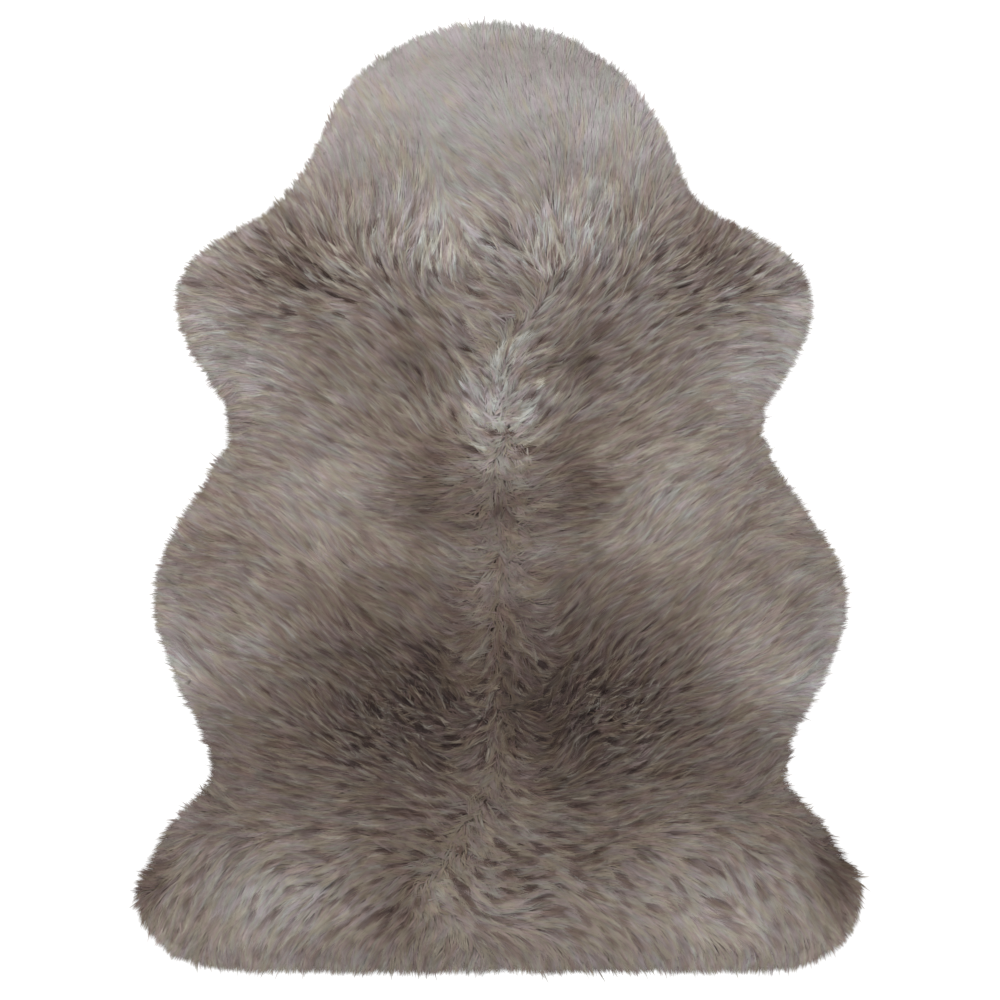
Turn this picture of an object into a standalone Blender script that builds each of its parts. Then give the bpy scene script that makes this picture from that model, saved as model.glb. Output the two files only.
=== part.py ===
"""A sheepskin rug: one whole pelt lying flat, wool side up.

The pelt is one closed solid with a flat underside. Its top is a lumpy coat of combed wool
that rounds down to the edge, and all round the rim the wool ends in tapered locks that lie
level on the floor. The neck points towards +Y, and the origin is at the middle of the
underside.
"""

import bpy
import bmesh
import numpy as np
from mathutils import Vector
from mathutils.geometry import delaunay_2d_cdt

MM = 0.001

# The line that the wool reaches, by sections from the tail to the neck. All in millimetres:
# how far the section lies from the pelt's middle, and how far the wool reaches to each side.
FLANK_COLUMNS = ("place", "station", "left", "right")
FLANKS = (
    ("foot corner", -452, 336, 337),
    ("foot, outer side", -421, 359, 359),
    ("foot, widest", -389, 365, 364),
    ("foot, upper side", -350, 347, 346),
    ("below the hock", -312, 313, 311),
    ("hock", -286, 292, 290),
    ("hind waist", -258, 289, 286),
    ("above the hock", -228, 301, 298),
    ("haunch", -172, 330, 329),
    ("flank, widest", -112, 345, 346),
    ("flank", -62, 337, 336),
    ("loin", -16, 314, 310),
    ("above the loin", 30, 284, 277),
    ("waist", 76, 269, 259),
    ("below the arm", 118, 292, 283),
    ("arm, lower side", 160, 313, 304),
    ("arm, widest", 202, 323, 312),
    ("arm, upper side", 236, 309, 296),
    ("arm, top", 262, 275, 257),
    ("shoulder", 288, 231, 212),
    ("foot of the neck", 318, 201, 183),
    ("neck", 360, 180, 167),
)
# The neck's end between those sides: how far across, and how far from the pelt's middle.
CROWN = ((-156, 404), (-124, 437), (-65, 466), (-2, 474), (60, 463), (112, 433), (141, 402))
# The tail's end, nearly straight between the two feet.
TAIL = ((-290, -471), (-150, -475), (0, -475), (150, -475), (290, -472))

LOCK_LENGTH = 15 * MM          # from the even coat to the line that the wool reaches
LOCK_LENGTH_SPREAD = 5 * MM    # a lock may be this much longer or shorter
LOCK_ROOT_IN = 5 * MM          # the upper edge of a root stands in from its lower edge
LOCK_ROOT_HEIGHT = 17 * MM
LOCK_LEAN = 2.5 * MM           # how far a tip strays along the rim
# Sections along a lock: shares of its length and of the room it has there, and millimetres.
LOCK_COLUMNS = ("place", "share_of_length", "share_of_width", "height")
LOCK_SECTIONS = (
    ("belly", 0.55, 0.74, 11.0),
    ("tip", 1.00, 0.24, 4.5),
)

PILE_HEIGHT = 38 * MM          # top of the combed coat
SHOULDER_WIDTH = 62 * MM       # how far in from the edge the coat reaches that height

LUMP_PITCH = 34 * MM           # distance between the tufts that show as lumps
LUMP_HALF_LENGTH = 33 * MM
LUMP_HALF_WIDTH = 17 * MM
LUMP_HEIGHT = (6.0 * MM, 12.0 * MM)
LUMP_PEAK = 0.45               # a tuft's highest point lies towards its tip
RIM_LUMP = 0.45                # share of a lump's height that is left at the rim

# Broad swells and hollows of the coat, in millimetres: across, along, reach and height.
SWELL_COLUMNS = ("place", "across", "along", "reach_across", "reach_along", "height")
SWELLS = (
    ("roll over the shoulders", 0, 250, 300, 60, 3.0),
    ("neck", 0, 390, 150, 70, 2.0),
    ("chest tuft", 5, 150, 40, 55, 4.0),
    ("hollow between the arms", 0, 60, 60, 28, -4.0),
    ("left haunch hollow", -98, -205, 80, 70, -4.0),
    ("right haunch hollow", 88, -205, 80, 70, -4.0),
    ("left flank", -230, -90, 90, 110, 2.5),
    ("right flank", 230, -90, 90, 110, 2.5),
    ("tail roll", 0, -400, 330, 45, 2.5),
)

RIM_LOCKS = 216                # locks round the rim, at an even pitch
COAT_PITCH = 14 * MM           # distance between the points that shape the top
COAT_STRAY = 1.8 * MM          # how far those points stray from even rows
RIM_CLEARANCE = 9 * MM         # the least distance from such a point to the rim
CURVE_STEPS = 24               # fine steps between two outline points
INSIDE_TRIANGLES = 1           # what delaunay_2d_cdt is asked for: triangles inside the border
MERGE_DISTANCE = 0.01 * MM
SEED = 7

WOOL_COLOUR = (0.205, 0.160, 0.129, 1.0)
WOOL_ROUGHNESS = 0.92


def clear_scene():
    for old in list(bpy.data.objects):
        bpy.data.objects.remove(old, do_unlink=True)


def wool_material():
    material = bpy.data.materials.new("wool")
    material.use_nodes = True
    shader = material.node_tree.nodes["Principled BSDF"]
    shader.inputs["Base Color"].default_value = WOOL_COLOUR
    shader.inputs["Roughness"].default_value = WOOL_ROUGHNESS
    shader.inputs["Metallic"].default_value = 0.0
    return material


def closed_curve(points):
    """A smooth closed curve through the points, in CURVE_STEPS steps from one to the next."""
    points = np.array(points, float)
    before = np.roll(points, 1, axis=0)
    after = np.roll(points, -1, axis=0)
    beyond = np.roll(points, -2, axis=0)
    t = np.linspace(0.0, 1.0, CURVE_STEPS, endpoint=False)[None, :, None]
    p0, p1, p2, p3 = (p[:, None, :] for p in (before, points, after, beyond))
    curve = 0.5 * (2 * p1 + (p2 - p0) * t + (2 * p0 - 5 * p1 + 4 * p2 - p3) * t ** 2
                   + (3 * p1 - p0 - 3 * p2 + p3) * t ** 3)
    return curve.reshape(-1, 2)


def wool_outline():
    """The closed line that the wool reaches, in fine steps, counter-clockwise from the tail."""
    flanks = [dict(zip(FLANK_COLUMNS, row)) for row in FLANKS]
    left = [(-row["left"], row["station"]) for row in flanks]
    right = [(row["right"], row["station"]) for row in flanks]
    points = list(TAIL) + right + list(reversed(CROWN)) + list(reversed(left))
    return closed_curve(points) * MM


def even_steps(curve, count):
    """The closed curve cut into steps of equal length."""
    closed = np.concatenate((curve, curve[:1]))
    lengths = np.linalg.norm(np.diff(closed, axis=0), axis=1)
    along = np.concatenate(([0.0], np.cumsum(lengths)))
    wanted = np.linspace(0.0, along[-1], count, endpoint=False)
    return np.column_stack([np.interp(wanted, along, closed[:, axis]) for axis in (0, 1)])


def outward(rim):
    """The direction square to the rim at each of its points, away from the pelt."""
    along = np.roll(rim, -1, axis=0) - np.roll(rim, 1, axis=0)
    across = np.column_stack((along[:, 1], -along[:, 0]))
    return across / np.linalg.norm(across, axis=1)[:, None]


def way_to_rim(points, rim):
    """How far inside the rim each point lies, and the direction to the rim from there."""
    gaps = rim[None, :, :] - points[:, None, :]
    distances = np.linalg.norm(gaps, axis=2)
    nearest = distances.argmin(axis=1)
    rows = np.arange(len(points))
    distance = distances[rows, nearest]
    direction = gaps[rows, nearest] / np.maximum(distance, MM)[:, None]
    inside = (direction * outward(rim)[nearest]).sum(axis=1) > 0
    return np.where(inside, distance, -distance), direction


def coat_points(edge, rng):
    """Points in offset rows that fill the edge and stay a little inside it."""
    low, high = edge.min(axis=0), edge.max(axis=0)
    row_pitch = COAT_PITCH * np.sqrt(3) / 2
    rows = np.arange(low[1], high[1], row_pitch)
    across = np.arange(low[0], high[0], COAT_PITCH)
    points = [(x + (i % 2) * COAT_PITCH / 2, y) for i, y in enumerate(rows) for x in across]
    points = np.array(points) + rng.uniform(-COAT_STRAY, COAT_STRAY, (len(points), 2))
    inside, _ = way_to_rim(points, edge)
    return points[inside > RIM_CLEARANCE]


def swell_height(points):
    """Broad swells and hollows, over each point."""
    height = np.zeros(len(points))
    for row in SWELLS:
        swell = dict(zip(SWELL_COLUMNS, row))
        across = (points[:, 0] / MM - swell["across"]) / swell["reach_across"]
        along = (points[:, 1] / MM - swell["along"]) / swell["reach_along"]
        height += swell["height"] * MM * np.exp(-(across ** 2 + along ** 2))
    return height


def lump_height(points, edge, rng):
    """Tufts of the combed coat: long lumps that lie outward, highest near their tips."""
    low, high = edge.min(axis=0), edge.max(axis=0)
    stations = [np.arange(low[axis], high[axis], LUMP_PITCH) for axis in (0, 1)]
    middles = np.stack(np.meshgrid(*stations), axis=-1).reshape(-1, 2)
    middles += rng.uniform(-0.5, 0.5, middles.shape) * LUMP_PITCH
    sizes = rng.uniform(*LUMP_HEIGHT, len(middles))
    _, directions = way_to_rim(middles, edge)
    height = np.zeros(len(points))
    for middle, direction, size in zip(middles, directions, sizes):
        offset = points - middle
        along = offset @ direction / LUMP_HALF_LENGTH
        across = (offset[:, 1] * direction[0] - offset[:, 0] * direction[1]) / LUMP_HALF_WIDTH
        rise = np.interp(along, (-1.0, LUMP_PEAK, 1.0), (0.0, 1.0, 0.0))
        width = np.clip(1.0 - across ** 2, 0.0, 1.0)
        height = np.maximum(height, size * rise * width)
    return height


def coat_heights(points, edge, rng):
    """Height of the wool's top over each point."""
    inside, _ = way_to_rim(points, edge)
    share = np.clip(inside / SHOULDER_WIDTH, 0.0, 1.0)
    roundness = 1.0 - (1.0 - share) ** 2
    coat = LOCK_ROOT_HEIGHT + (PILE_HEIGHT - LOCK_ROOT_HEIGHT) * roundness
    lumps = lump_height(points, edge, rng)
    return coat + swell_height(points) * roundness + lumps * (RIM_LUMP + (1.0 - RIM_LUMP) * share)


def shape_section(face, middle, along_rim, half_width, height):
    """Set one end of a lock: its lower corners on the floor, its upper ones at the height."""
    centre = sum((corner.co for corner in face.verts), Vector()) / len(face.verts)
    for corner in face.verts:
        side = half_width if (corner.co - centre).dot(along_rim) > 0 else -half_width
        level = height if corner.co.z > centre.z else 0.0
        corner.co = middle + along_rim * side + Vector((0.0, 0.0, level))


def draw_out_locks(mesh, faces, edge, rim, out, rng):
    """Draw each rim face out to a tapered lock that lies on the floor."""
    after = np.roll(np.arange(RIM_LOCKS), -1)
    roots = (edge + edge[after]) / 2
    root_widths = np.linalg.norm(edge[after] - edge, axis=1)
    rim_widths = np.linalg.norm(rim[after] - rim, axis=1)
    alongs = (rim[after] - rim) / rim_widths[:, None]
    reach = rng.uniform(-LOCK_LENGTH_SPREAD, LOCK_LENGTH_SPREAD, (RIM_LOCKS, 1))
    stray = rng.uniform(-LOCK_LEAN, LOCK_LEAN, (RIM_LOCKS, 1))
    tips = (rim + rim[after]) / 2 + out * reach + alongs * stray
    for i, face in enumerate(faces):
        along_rim = Vector((*alongs[i], 0.0))
        for row in LOCK_SECTIONS:
            section = dict(zip(LOCK_COLUMNS, row))
            share = section["share_of_length"]
            middle = Vector((*(roots[i] + (tips[i] - roots[i]) * share), 0.0))
            room = root_widths[i] + (rim_widths[i] - root_widths[i]) * share
            half_width = section["share_of_width"] * room / 2
            face = bmesh.ops.extrude_discrete_faces(mesh, faces=[face])["faces"][0]
            shape_section(face, middle, along_rim, half_width, section["height"] * MM)


def lay_coat(mesh, upper_edge, fine_edge, rng):
    """The lumpy top inside the upper edge. Returns its corners along that edge."""
    points = np.concatenate((upper_edge, coat_points(fine_edge, rng)))
    heights = coat_heights(points, fine_edge, rng)
    count = len(upper_edge)
    flat = [Vector(point) for point in points]
    border = [list(range(count))]
    triangles = delaunay_2d_cdt(flat, [], border, INSIDE_TRIANGLES, MERGE_DISTANCE)[2]
    corners = [mesh.verts.new((x, y, z)) for (x, y), z in zip(points, heights)]
    for triangle in triangles:
        mesh.faces.new([corners[i] for i in triangle])
    return corners[:count]


def build_pelt():
    """The whole pelt: its coat, its flat underside and the locks round its rim."""
    rng = np.random.default_rng(SEED)
    fine_rim = wool_outline()
    rim = even_steps(fine_rim, RIM_LOCKS)
    out = outward(rim)
    edge = rim - out * LOCK_LENGTH
    upper_edge = edge - out * LOCK_ROOT_IN
    fine_edge = fine_rim - outward(fine_rim) * (LOCK_LENGTH + LOCK_ROOT_IN)

    mesh = bmesh.new()
    rim_top = lay_coat(mesh, upper_edge, fine_edge, rng)
    rim_bottom = [mesh.verts.new((x, y, 0.0)) for x, y in edge]
    mesh.faces.new(list(reversed(rim_bottom)))
    root_faces = []
    for i in range(RIM_LOCKS):
        after = (i + 1) % RIM_LOCKS
        root = (rim_bottom[i], rim_bottom[after], rim_top[after], rim_top[i])
        root_faces.append(mesh.faces.new(root))
    draw_out_locks(mesh, root_faces, edge, rim, out, rng)

    corners = np.array([vert.co for vert in mesh.verts])
    middle = (corners.min(axis=0) + corners.max(axis=0)) / 2
    bmesh.ops.translate(mesh, verts=mesh.verts, vec=(-middle[0], -middle[1], 0.0))
    bmesh.ops.recalc_face_normals(mesh, faces=mesh.faces)

    data = bpy.data.meshes.new("sheepskin")
    mesh.to_mesh(data)
    mesh.free()
    pelt = bpy.data.objects.new("sheepskin", data)
    bpy.context.collection.objects.link(pelt)
    data.materials.append(wool_material())
    data.shade_smooth()
    return pelt


def main():
    clear_scene()
    build_pelt()


main()
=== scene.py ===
"""The looks of a sheepskin rug: a thin tanned hide, a dense undercoat and combed wool.

The wool is real geometry. Tufts of fine tapered fibres grow from the pelt, lie the way the
coat is combed, and end at the rim in a fringe that droops to the floor.
"""

import math

import bpy
import numpy as np
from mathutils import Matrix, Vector
from mathutils.bvhtree import BVHTree
from mathutils.geometry import delaunay_2d_cdt
from mathutils.kdtree import KDTree


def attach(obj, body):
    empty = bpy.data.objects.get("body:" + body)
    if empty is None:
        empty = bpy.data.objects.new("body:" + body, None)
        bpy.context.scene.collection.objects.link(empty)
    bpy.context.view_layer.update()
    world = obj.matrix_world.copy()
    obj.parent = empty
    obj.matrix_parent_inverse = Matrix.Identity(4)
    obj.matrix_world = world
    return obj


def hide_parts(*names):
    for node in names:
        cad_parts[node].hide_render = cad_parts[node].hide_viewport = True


MM = 0.001
NODE = "sheepskin"
SEED = 11

# The solid that the frame gives. Rounds are how often values are evened out.
FLOOR_LEVEL = 0.01 * MM  # corners below this stand on the floor
EDGE_BINS = 150  # directions in which the solid's even edge is read
EDGE_STEPS = 3000
EDGE_ROUNDS = 40
EDGE_TO_WOOL_LINE = 15 * MM
PELT_MIDDLE = (0.0, -0.060)
LOOK_FROM = 1.0  # height from which the top is looked for
FIELD_PITCH = 4 * MM  # of the coat's height and direction
FIELD_MARGIN = 40 * MM
HEIGHT_ROUNDS = 3
FIELD_ROUNDS = 2  # for the way outward and the partings
FULL_COAT = 20 * MM  # where it is lower, its relief is too
NEARLY_NOTHING = 1e-9  # keeps what is divided by above nothing
LAST_CELL = 1.001  # keeps points at the far side within the last cell

# The hide and the undercoat.
HIDE_INSIDE = 20 * MM  # its cut edge, inside the line that the wool reaches
HIDE_THICKNESS = 2.0 * MM
HIDE_UNEVENNESS = 0.25 * MM
HIDE_PITCH = 30 * MM
HIDE_MARGIN = 3 * MM  # its inner points keep this much farther inside
CUT_UNEVENNESS = 2.2 * MM  # of the hide's cut edge
CUT_ROUNDS = 2
UNDERCOAT_INSIDE = 19 * MM
UNDERCOAT_LIFT = 0.4 * MM
UNDERCOAT_SHARE = 0.79  # of the coat's height
UNDERCOAT_UNEVENNESS = 1.2 * MM
UNDERCOAT_LEAST = 1.0 * MM  # its least thickness
UNDERCOAT_RIM = 1.5 * MM  # its thickness at the rim
UNDERCOAT_PITCH = 9 * MM
UNDERCOAT_SECTION = 0.25  # how far up the painted depth shade of a fibre the undercoat's colour is found
PARTING_SECTION = 0.5  # and how much farther where strokes part
CORNER_SECTION = 0.1  # and from one corner of a face to the next
RIM_POINTS = 360
RIM_ROUNDS = 20
POINT_STRAY = 0.25  # how far an inner point strays, in steps
POINT_ROOM = 0.6  # how far inside the border it keeps, in steps

# Where tufts grow and how long they are.
TUFTS = 45000
PELT_SHARE = 0.77  # of the rectangle around the pelt is pelt
ROOTS_INSIDE = 4 * MM  # from the line that the wool reaches
ROOT_ROOM = (0.12, 0.88)  # the part of its square that a tuft may grow in
TUFT_LENGTHS = (0.75, 1.2)  # against the coat
FIBRE_REACH = 31 * MM  # from root to tip, seen from above
RIM_REACH = 36 * MM  # at the rim, where the wool droops to the floor
RIM_DROOP = 30 * MM  # depth over which it does
FULL_PARTING = 0.5  # strokes that part this much part fully
PARTING_LEAN = 0.6  # how far tufts turn there, in radians
PARTING_LENGTH = 0.5  # how much shorter they are there
PARTING_ENDS = 0.95  # how far up the painted depth shade a fibre's root takes its colour from there
SHORT_ENDS = 0.6  # and in the shortest wool

# The fibres of a tuft.
FIBRES_PER_TUFT = 7
TUFT_RADIUS = 4.2 * MM
FIBRE_LENGTHS = (0.8, 1.08)  # against their tuft
FIBRE_WIDTH = 0.9 * MM
FIBRE_WIDTHS = (0.75, 1.25)  # against that
TURNED_LENGTH = 0.45  # how much shorter wool is where its lie turns square
TURNED_CURL = 0.5  # how far fibres follow the lie ahead of them
TUFT_CURL = 0.05  # how unevenly tufts bend
GATHERS = (0.1, 0.5)  # how far tips draw to the middle of their tuft
TIP_STRAY = 0.5 * MM
ROOT_LEVELS = (0.83, 0.90)  # of the coat's height
ROOT_UNEVENNESS = 0.015
RISE_POWER = 0.8  # steeper at the root, flatter at the tip
LOWEST_MIDDLE = 0.4 * MM  # of a fibre's middle line
LOWEST_CORNER = 0.15 * MM

# How unevenly wool grows: the spread of whole tufts, and that of each fibre besides.
RISES = (0.4, 0.2)  # in millimetres
ROLLS = (0.05, 0.03)  # in radians
TONE_SPREADS = (0.010, 0.006)
RIM_REACHES = (1.2, 3.6)  # past the rim, in millimetres
RIM_REACH_MIDDLE = 1.0
EVEN_COAT = 0.25  # how uneven wool is where strands do not stand out

# How wool ends at the rim.
RIM_DEPTH = 45 * MM  # within which tufts spread and root lower
RIM_CUTS = 3  # how often fibres that reach too far are cut
RIM_CURL_KEPT = 0.8  # each time
LEAST_FACING = 0.35  # the least that a fibre counts as facing out
SHORTEST_FIBRE = 2 * MM

# How the coat follows the comb.
STROKE_SHARE = 0.3  # how far wool follows one stroke and not the mean
STROKE_REACH = 0.85  # of the reach in the comb table
RIM_PULL = 24 * MM  # depth over which the rim turns wool outward
RIM_LOSS = 0.55  # how much of its lie it loses at the rim
RIM_OUTWARD = 0.9  # and how much of the way outward it gains
LEAN_WIDTH = 12 * MM  # of the spots that turn from the comb
MIXED_WIDTH = 5 * MM  # of the spots in which strokes mix
MIXED_REACH = 5 * MM  # how far they mix
PICK_STEEPNESS = 1.7  # turns unit noise into even picks from 0 to 1

# Streaks: noise drawn out along the lie of the wool, as strands and locks side by side are.
STREAK_PITCH = 1.0 * MM
STREAK_STEP = 2 * MM
STREAK_COLUMNS = ("name", "width", "reach")  # in millimetres
STREAKS = (
    ("strand", 0.8, 6),
    ("gap", 1.4, 5),
    ("wide gap", 1.9, 8),
    ("lock", 2.2, 8),
    ("wave", 6.0, 12),
    ("strand tint", 1.0, 6),
    ("lock tint", 3.5, 10),
)
STRAND_LIFT = 0.25 * MM  # above or below the even coat
LOCK_LIFT = 0.8 * MM
STRAND_TONE = 0.051  # lighter or darker
LOCK_TONE = 0.032
WAVE_TONE = 0.016
STRAND_ROUNDS = 12  # blurring that finds the coat around a strand
GAP_ROUNDS = 60  # and around a gap
GAP_FROM = 0.8  # a gap opens where its noise is above this
WIDE_GAP_FROM = 0.3
GAP_FULLY_OPEN = 1.3  # and is fully open where it is this much higher
# How much darker the gaps are painted, as the shade that falls between locks.
PAINTED_GAP_SHADE = 0.13
PAINTED_WIDE_GAP_SHADE = 0.08
GAP_DEPTH = 1.0 * MM
MARK_LIFT = 5 * MM  # of a lock of tone 1 above the coat
MARK_ROUNDS = 300  # blurring that spreads its tone around it
DRAW_REACH = 3 * MM  # how far tips draw to the middle of their lock
TINT_WARMTH = 0.5  # how much the tints count in the warmth
STRAND_GREEN = 0.8  # how much strands count in olive against violet
TINT_GREEN = 0.4  # how much their tints do
MARK_GREEN = 8  # how much the tone of marks and the painted gap shade does
HUE_SPREAD = 0.4  # how far each fibre strays from both

BANDS = ("neck", "shoulders", "ribs", "loin", "haunches", "tail")

# In the tables of places, lengths are in millimetres. A row that ends in BOTH stands for the
# right side as written, and mirrored for the left side.
BOTH = (1, -1)
ONE = (1,)

# Which way the tips of the wool lie: heading in degrees, 0 to the right and 90 to the neck.
COMB_COLUMNS = ("place", "across", "along", "heading", "reach", "sides")
COMB = (
    ("crown, left", -110, 405, 115, 45),
    ("crown, middle", -10, 435, 125, 45),
    ("crown, right", 85, 425, 100, 45),
    ("neck, left", -125, 340, 108, 50),
    ("neck, middle", -10, 350, 137, 32),
    ("neck, right", 100, 345, 90, 50),
    ("throat, left", -90, 265, 78, 50),
    ("throat, middle", -15, 285, 138, 32),
    ("throat, beside middle", 50, 250, 108, 25),
    ("throat, right", 95, 280, 97, 45),
    ("under throat", 10, 218, 155, 25),
    ("shoulder, top", 190, 270, 58, 35, BOTH),
    ("shoulder, inner side", 110, 230, 48, 35, BOTH),
    ("shoulder, point", 250, 232, 25, 35, BOTH),
    ("arm", 270, 185, 5, 45, BOTH),
    ("breast", 170, 185, 30, 50, BOTH),
    ("breast, inner side", 90, 165, 42, 45, BOTH),
    ("under arm", 240, 115, 18, 50, BOTH),
    ("ribs", 130, 100, 38, 50, BOTH),
    ("chest", 60, 100, 58, 30, BOTH),
    ("chest, left", -70, 90, 105, 28),
    ("waist", 220, 55, 30, 50, BOTH),
    ("waist, inner side", 110, 50, 22, 40, BOTH),
    ("back", 60, 10, 6, 45, BOTH),
    ("loin", 180, 0, 38, 55, BOTH),
    ("flank, edge", 300, -60, 18, 55, BOTH),
    ("flank, low edge", 305, -155, 48, 35, BOTH),
    ("flank", 210, -100, 40, 60, BOTH),
    ("small of back", 60, -50, 10, 30, BOTH),
    ("spine", 14, 10, 345, 16, BOTH),
    ("spine, middle", 14, -45, 345, 20, BOTH),
    ("spine, low", 14, -105, 335, 20, BOTH),
    ("croup, inner side", 65, -95, 48, 30, BOTH),
    ("croup", 110, -90, 38, 45, BOTH),
    ("haunch", 150, -190, 40, 60, BOTH),
    ("haunch, edge", 260, -190, 30, 55, BOTH),
    ("haunch, inner side", 80, -185, 42, 40, BOTH),
    ("beside spine", 22, -165, 315, 22, BOTH),
    ("rump, inner side", 24, -235, 325, 22, BOTH),
    ("rump, middle", 75, -240, 28, 30, BOTH),
    ("rump", 150, -255, 25, 45, BOTH),
    ("hock, inner side", 210, -230, 35, 40, BOTH),
    ("hock", 250, -265, 26, 45, BOTH),
    ("above foot", 190, -290, 0, 45, BOTH),
    ("tail band, inner side", 90, -320, 12, 40, BOTH),
    ("tail band", 150, -345, 355, 50, BOTH),
    ("leg", 285, -315, 325, 30, BOTH),
    ("foot", 315, -385, 292, 50, BOTH),
    ("foot, inner side", 240, -395, 315, 50, BOTH),
    ("tail, middle", -5, -380, 335, 45),
    ("tail, side", 140, -410, 322, 50, BOTH),
    ("tail edge, middle", 70, -460, 308, 30, BOTH),
    ("tail edge, side", 200, -455, 308, 35, BOTH),
)

# Between the two sides, strokes run straight down the spine: from, to and step in millimetres.
SPINE_LINE = (35, -130, -20)
SPINE_HEADING = 270
SPINE_REACH = 12

# How light the wool is: shifts from the middle tone, over soft round zones. The zones are partly the
# wool's own colour and partly painted light and shade of the coat.
MIDDLE_TONE = 0.425
RIM_TONE = 0.045  # how much lighter the wool is where it droops to the floor
ZONE_COLUMNS = ("place", "across", "along", "reach_across", "reach_along", "shift", "sides")
TONES = (
    ("neck", 0, 425, 200, 200, 0.25),
    ("neck, inner right", 90, 345, 16, 60, 0.02),
    ("neck edge, right", 138, 370, 30, 50, 0.06),
    ("crown edge", 0, 445, 140, 30, -0.11),
    ("neck, low middle", 35, 370, 90, 25, 0.02),
    ("neck, bright middle", 5, 335, 60, 60, -0.055),
    ("neck, right side", 145, 385, 50, 45, 0.045),
    ("throat", 70, 270, 55, 40, 0.11, BOTH),
    ("throat locks, left", -65, 245, 35, 25, 0.05),
    ("throat, middle", 0, 248, 30, 20, -0.05),
    ("under throat", 10, 215, 170, 15, -0.06),
    ("shoulder streak", 215, 250, 45, 45, -0.12, BOTH),
    ("shoulder, right", 195, 245, 40, 25, 0.05),
    ("shoulder point", 295, 220, 30, 20, -0.10, BOTH),
    ("shoulder, far right", 250, 250, 60, 25, 0.035),
    ("arm, left", -270, 215, 30, 25, 0.05),
    ("arm edge, left", -285, 155, 35, 45, 0.03),
    ("arm edge", 300, 180, 30, 60, 0.14, BOTH),
    ("arm edge, right", 285, 190, 30, 45, 0.07),
    ("under arm", 240, 125, 45, 40, 0.17, BOTH),
    ("under arm, left", -195, 133, 50, 45, -0.04),
    ("under arm, right", 250, 128, 40, 60, 0.045),
    ("chest, side", 90, 155, 25, 35, -0.10, BOTH),
    ("chest spot", 80, 125, 20, 20, -0.12, BOTH),
    ("chest, right", 70, 100, 35, 30, 0.03),
    ("chest, left", -125, 140, 50, 40, -0.03),
    ("chest tuft", 10, 145, 20, 20, 0.14),
    ("chest", -4, 95, 38, 35, 0.18),
    ("beside bib", 60, 98, 15, 20, 0.03, BOTH),
    ("under chest", -10, 40, 20, 15, 0.12),
    ("waist", 180, 0, 60, 80, 0.18, BOTH),
    ("waist, left", -180, 5, 60, 30, -0.04),
    ("beside waist", 75, 25, 35, 40, -0.12, BOTH),
    ("back", 5, -15, 115, 25, -0.10),
    ("back, soft side", 125, -40, 35, 30, 0.08, BOTH),
    ("back mark", 50, -85, 20, 15, -0.08, BOTH),
    ("back, right", 50, -40, 20, 60, 0.025),
    ("back, left", -115, -42, 50, 45, -0.04),
    ("back, middle", 20, -5, 70, 30, -0.02),
    ("flank, left", -235, -115, 50, 55, -0.03),
    ("flank, right", 190, -110, 40, 60, -0.025),
    ("loin", -10, -110, 80, 75, 0.04),
    ("spine", 4, -40, 14, 95, -0.09),
    ("spine, rump", 8, -200, 16, 60, -0.07),
    ("loin, low middle", 0, -155, 40, 20, 0.025),
    ("loin, left side", -170, -100, 90, 80, -0.035),
    ("flank edge", 340, -155, 25, 60, 0.11, BOTH),
    ("flank edge, right", 295, -20, 20, 40, 0.07),
    ("flank point, right", 332, -105, 18, 25, 0.06),
    ("flank", 245, -135, 50, 60, 0.16, BOTH),
    ("haunches", 0, -185, 185, 90, -0.32),
    ("haunch, left", -100, -200, 70, 60, -0.03),
    ("between haunches", -10, -210, 40, 95, 0.14),
    ("haunch edge, right", 305, -185, 50, 35, 0.22),
    ("haunch edge, left", -315, -175, 30, 30, 0.16),
    ("hock, left", -290, -250, 40, 30, -0.04),
    ("haunch, outer side, left", -230, -220, 60, 60, -0.03),
    ("above tail", 0, -265, 490, 60, -0.08),
    ("above tail, right", 90, -292, 50, 18, 0.02),
    ("leg, outer side", 285, -320, 40, 55, -0.05, BOTH),
    ("tail, top middle", -20, -315, 60, 35, -0.075),
    ("tail, middle", 25, -370, 30, 30, -0.07),
    ("tail, beside middle", -50, -345, 40, 25, -0.04),
    ("tail, right", 130, -325, 30, 40, -0.04),
    ("tail edge, middle", 30, -420, 55, 30, 0.05),
    ("tail, left dark side", -105, -390, 35, 65, -0.13),
    ("tail, right dark side", 85, -345, 30, 40, -0.06),
    ("foot", 240, -415, 95, 60, 0.19, BOTH),
    ("foot, top, right", 150, -370, 30, 25, -0.05),
    ("foot, right", 290, -395, 50, 40, -0.04),
    ("foot, left", -285, -415, 50, 30, -0.03),
    ("tail edge", 0, -455, 380, 22, 0.03),
    ("tail, low middle", 15, -412, 70, 20, 0.02),
    ("foot corner, low left", -350, -445, 30, 25, 0.06),
    ("foot corner, left", -358, -370, 22, 45, -0.22),
    ("foot corner, right", 340, -370, 30, 40, -0.27),
)

# How much warmer the wool is: 1 is from one pair of hues to the next.
MIDDLE_WARMTH = 0.1
WARMTHS = (
    ("crown", 0, 440, 200, 110, -1.4),
    ("shoulder", 200, 250, 90, 40, 0.5, BOTH),
    ("arm", 300, 185, 60, 50, -0.5, BOTH),
    ("under arm", 260, 120, 40, 40, -0.5, BOTH),
    ("chest", 0, 105, 40, 45, -1.1),
    ("beside chest", 110, 60, 70, 25, 1.1, BOTH),
    ("middle of back", 0, 0, 40, 60, -0.4),
    ("loin", 200, -60, 110, 50, 0.6, BOTH),
    ("flank edge", 330, -140, 30, 90, -0.8, BOTH),
    ("haunch", 100, -230, 60, 40, -0.4, BOTH),
    ("hock", 290, -230, 50, 50, -0.6, BOTH),
    ("tail band", 130, -340, 60, 35, 0.6, BOTH),
    ("tail, middle", -20, -410, 30, 30, -0.6),
    ("tail edge", 130, -440, 200, 30, 0.5, BOTH),
    ("foot, top", 250, -380, 60, 30, -0.6, BOTH),
    ("foot corner", 350, -390, 25, 40, 0.8, BOTH),
)
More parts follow.
